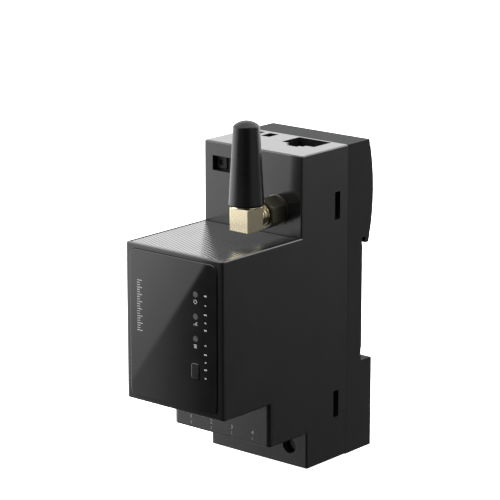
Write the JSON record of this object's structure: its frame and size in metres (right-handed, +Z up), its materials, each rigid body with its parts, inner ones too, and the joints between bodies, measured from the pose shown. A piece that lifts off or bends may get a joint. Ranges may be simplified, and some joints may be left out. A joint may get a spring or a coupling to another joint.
{
  "type": "din rail smart electric meter",
  "caption": "Narrow DIN rail energy meter with a glossy front panel, screw terminals, a data socket and a short right-angle screw-on antenna.",
  "frame": {"origin": "middle of the flat seat that lies on the face of the DIN rail", "axes": "+X along the rail to the meter's left-to-right as seen from the front, +Y back through the rail, +Z up; the front panel faces -Y"},
  "size_m": [0.036, 0.067, 0.103],
  "materials": {
    "case_black": "fine satin",
    "base_black": "fine satin",
    "panel_gloss": "piano gloss",
    "deck_gloss": "gloss with fine relief",
    "light_pin": "frosted clear",
    "button_gloss": "satin gloss",
    "board_green": "solder mask",
    "tinned": "tinned",
    "screw_zinc": "zinc plated",
    "gilt": "satin gilt",
    "nut_gilt": "polished gilt",
    "antenna_rubber": "satin",
    "white_insulator": "waxy",
    "socket_black": "moulded",
    "terminal_grey": "moulded",
    "ferrite": "sintered",
    "copper_wire": "enamelled",
    "chip_black": "moulded",
    "capacitor_can": "sleeved",
    "surge_blue": "lacquered",
    "lamp_white": "moulded",
    "lead_sleeve": "extruded",
    "spring_wire": "drawn"
  },
  "bodies": {
    "meter": {"antenna_jack": "gilt", "antenna_lead": "lead_sleeve", "board_screws": "screw_zinc", "bulk_capacitor": "capacitor_can", "data_socket_body": "socket_black", "data_socket_contacts": "gilt", "data_socket_shield": "tinned", "deck_plate": "deck_gloss", "display_board": "board_green", "front_housing": "case_black", "front_panel": "panel_gloss", "indicator_lamps": "lamp_white", "jack_contact": "gilt", "jack_insulator": "white_insulator", "jack_lock_nut": "gilt", "jack_washer": "gilt", "latch_spring": "spring_wire", "light_guide": "light_pin", "line_busbars": "tinned", "line_terminal_block": "terminal_grey", "link_board": "board_green", "link_connectors": "chip_black", "main_board": "board_green", "metering_chip": "chip_black", "radio_module": "board_green", "radio_shield": "tinned", "rear_base": "base_black", "supply_springs": "spring_wire", "supply_terminal": "terminal_grey", "surge_discs": "surge_blue", "tact_switch": "tinned", "transformer_core": "ferrite", "transformer_winding": "copper_wire"},
    "latch": {"rail_latch": "base_black"},
    "button": {"setup_button": "button_gloss", "tact_plunger": "chip_black"},
    "pusher_1": {"supply_pusher_1": "terminal_grey"},
    "pusher_2": {"supply_pusher_2": "terminal_grey"},
    "nut_ring": {"nut_snap_ring": "spring_wire"},
    "antenna": {"antenna_collar": "gilt", "collar_insulator": "white_insulator", "antenna_pin": "gilt", "antenna_elbow": "gilt", "whip_ferrule": "gilt", "whip_element": "copper_wire", "antenna_whip": "antenna_rubber"},
    "nut": {"coupling_nut": "nut_gilt"},
    "screw_1": {"line_screw_1": "screw_zinc"},
    "cage_1": {"line_cage_1": "tinned"},
    "screw_2": {"line_screw_2": "screw_zinc"},
    "cage_2": {"line_cage_2": "tinned"},
    "screw_3": {"line_screw_3": "screw_zinc"},
    "cage_3": {"line_cage_3": "tinned"},
    "screw_4": {"line_screw_4": "screw_zinc"},
    "cage_4": {"line_cage_4": "tinned"}
  },
  "joints": [
    {"name": "latch_slide", "type": "slide", "parent": "meter", "child": "latch", "axis": [0, 0, -1], "range_m": [0, 0.0032], "stiffness_N_per_m": 800, "springref_m": -0.003, "deforming": ["latch_spring"]},
    {"name": "button_push", "type": "slide", "parent": "meter", "child": "button", "axis": [0, 1, 0], "range_m": [0, 0.0003], "stiffness_N_per_m": 2000, "springref_m": -0.0003},
    {"name": "pusher_1_press", "type": "slide", "parent": "meter", "child": "pusher_1", "axis": [0, 1, 0], "range_m": [0, 0.0015], "stiffness_N_per_m": 2000, "springref_m": -0.001},
    {"name": "pusher_2_press", "type": "slide", "parent": "meter", "child": "pusher_2", "axis": [0, 1, 0], "range_m": [0, 0.0015], "stiffness_N_per_m": 2000, "springref_m": -0.001},
    {"name": "screw_1_turn", "type": "hinge", "parent": "meter", "child": "screw_1", "pos_m": [-0.01143, -0.022, -0.0401], "axis": [0, 1, 0], "range_deg": [0, 1800]},
    {"name": "cage_1_rise", "type": "slide", "parent": "meter", "child": "cage_1", "axis": [0, -1, 0], "range_m": [0, 0.0025]},
    {"name": "screw_2_turn", "type": "hinge", "parent": "meter", "child": "screw_2", "pos_m": [-0.00381, -0.022, -0.0401], "axis": [0, 1, 0], "range_deg": [0, 1800]},
    {"name": "cage_2_rise", "type": "slide", "parent": "meter", "child": "cage_2", "axis": [0, -1, 0], "range_m": [0, 0.0025]},
    {"name": "screw_3_turn", "type": "hinge", "parent": "meter", "child": "screw_3", "pos_m": [0.00381, -0.022, -0.0401], "axis": [0, 1, 0], "range_deg": [0, 1800]},
    {"name": "cage_3_rise", "type": "slide", "parent": "meter", "child": "cage_3", "axis": [0, -1, 0], "range_m": [0, 0.0025]},
    {"name": "screw_4_turn", "type": "hinge", "parent": "meter", "child": "screw_4", "pos_m": [0.01143, -0.022, -0.0401], "axis": [0, 1, 0], "range_deg": [0, 1800]},
    {"name": "cage_4_rise", "type": "slide", "parent": "meter", "child": "cage_4", "axis": [0, -1, 0], "range_m": [0, 0.0025]},
    {"name": "antenna_draw", "type": "slide", "parent": "meter", "child": "nut_ring", "axis": [0, -1, 0], "range_m": [0, 0.00353]},
    {"name": "antenna_swivel", "type": "hinge", "parent": "nut_ring", "child": "antenna", "pos_m": [0.0088, -0.036, 0.0294], "axis": [0, 1, 0], "range_deg": [-90, 90]},
    {"name": "nut_turn", "type": "hinge", "parent": "nut_ring", "child": "nut", "pos_m": [0.0088, -0.031, 0.0294], "axis": [0, -1, 0], "range_deg": [0, 1800]}
  ],
  "couplings": [
    {"joint": "screw_1_turn", "follows": "cage_1_rise", "rad_per_m": 12566},
    {"joint": "screw_2_turn", "follows": "cage_2_rise", "rad_per_m": 12566},
    {"joint": "screw_3_turn", "follows": "cage_3_rise", "rad_per_m": 12566},
    {"joint": "screw_4_turn", "follows": "cage_4_rise", "rad_per_m": 12566},
    {"joint": "nut_turn", "follows": "antenna_draw", "rad_per_m": 8899.7}
  ]
}
